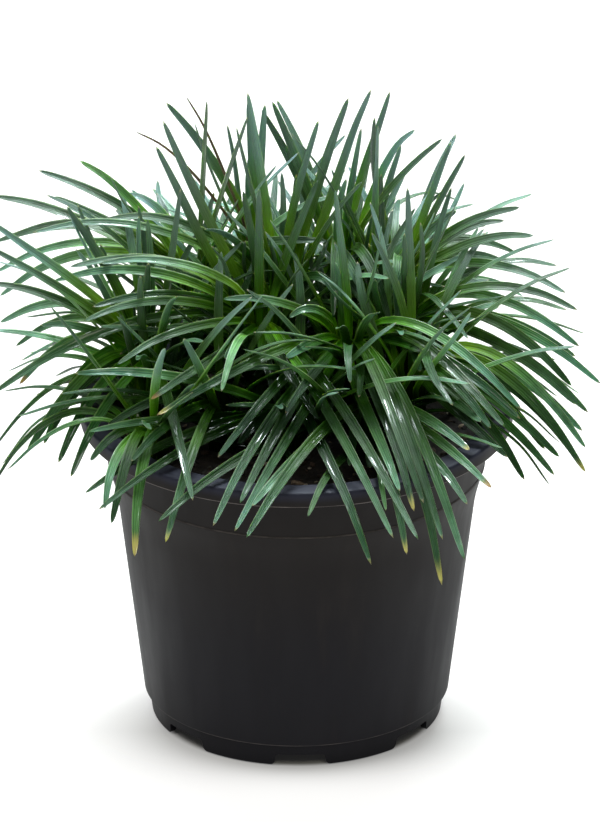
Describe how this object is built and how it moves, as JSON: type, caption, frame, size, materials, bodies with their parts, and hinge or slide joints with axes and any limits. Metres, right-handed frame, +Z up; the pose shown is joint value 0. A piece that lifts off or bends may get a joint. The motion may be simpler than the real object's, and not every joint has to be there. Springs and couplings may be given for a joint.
{
  "type": "potted ornamental grass",
  "caption": "Clump of short arching dark green strap leaves in a round black tapered nursery pot with a skirted rim, notched foot and dark soil",
  "frame": {"origin": "on the floor under the pot's axis, at the middle of the plant's plan outline", "axes": "+Z up; -Y is the front that the picture shows; +X is its right side"},
  "size_m": [0.2239, 0.21, 0.2266],
  "materials": {
    "pot_plastic": "satin",
    "soil": "matte",
    "leaf": "satin"
  },
  "bodies": {
    "root": {"pot": "pot_plastic", "soil": "soil", "tuft_back_left": "leaf", "tuft_left": "leaf", "tuft_mid_left": "leaf", "tuft_mid_back": "leaf", "tuft_rear": "leaf", "tuft_back": "leaf", "tuft_back_right": "leaf", "tuft_right": "leaf", "tuft_right_front": "leaf", "tuft_centre": "leaf", "tuft_front_right": "leaf", "tuft_front": "leaf", "tuft_front_left": "leaf", "tuft_left_front": "leaf"}
  },
  "joints": []
}
